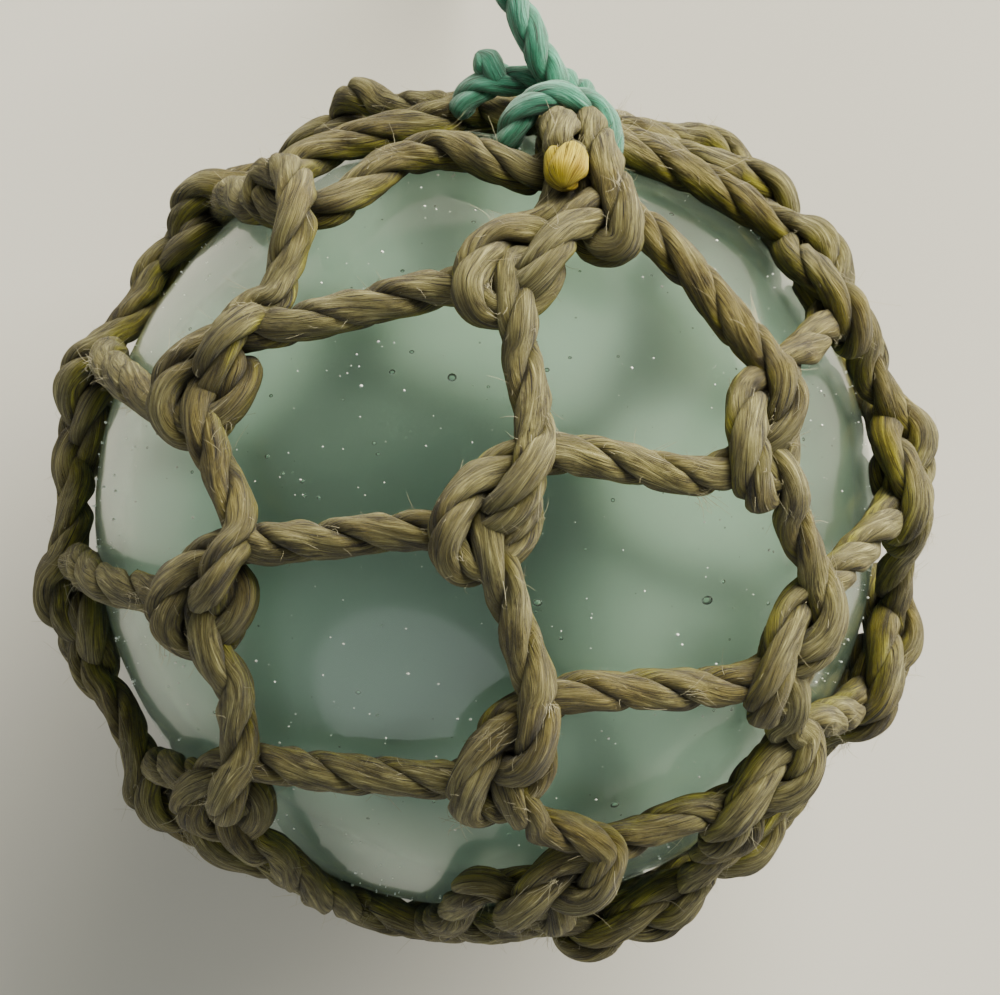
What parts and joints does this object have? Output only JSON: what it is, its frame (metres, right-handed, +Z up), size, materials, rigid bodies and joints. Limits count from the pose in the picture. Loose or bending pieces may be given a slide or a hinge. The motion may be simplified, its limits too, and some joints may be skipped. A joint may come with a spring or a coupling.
{
  "type": "glass fishing float",
  "caption": "Round blown glass fishing float in a knotted rope net, tied off with green twine that ends in a knotted hanging loop.",
  "frame": {"origin": "on the ground under the middle of the glass ball, as it lies", "axes": "+Z up, +Y towards the tie of the net, along which the hanging twine is laid out"},
  "size_m": [0.1068, 0.201, 0.1026],
  "materials": {
    "glass": "gloss",
    "rope": "matte",
    "twine": "satin"
  },
  "bodies": {
    "root": {"glass_float": "glass", "rope_net": "rope", "twine_hitch": "twine", "hanging_twine": "twine", "loop_knot": "twine", "hanging_loop": "twine"}
  },
  "joints": []
}
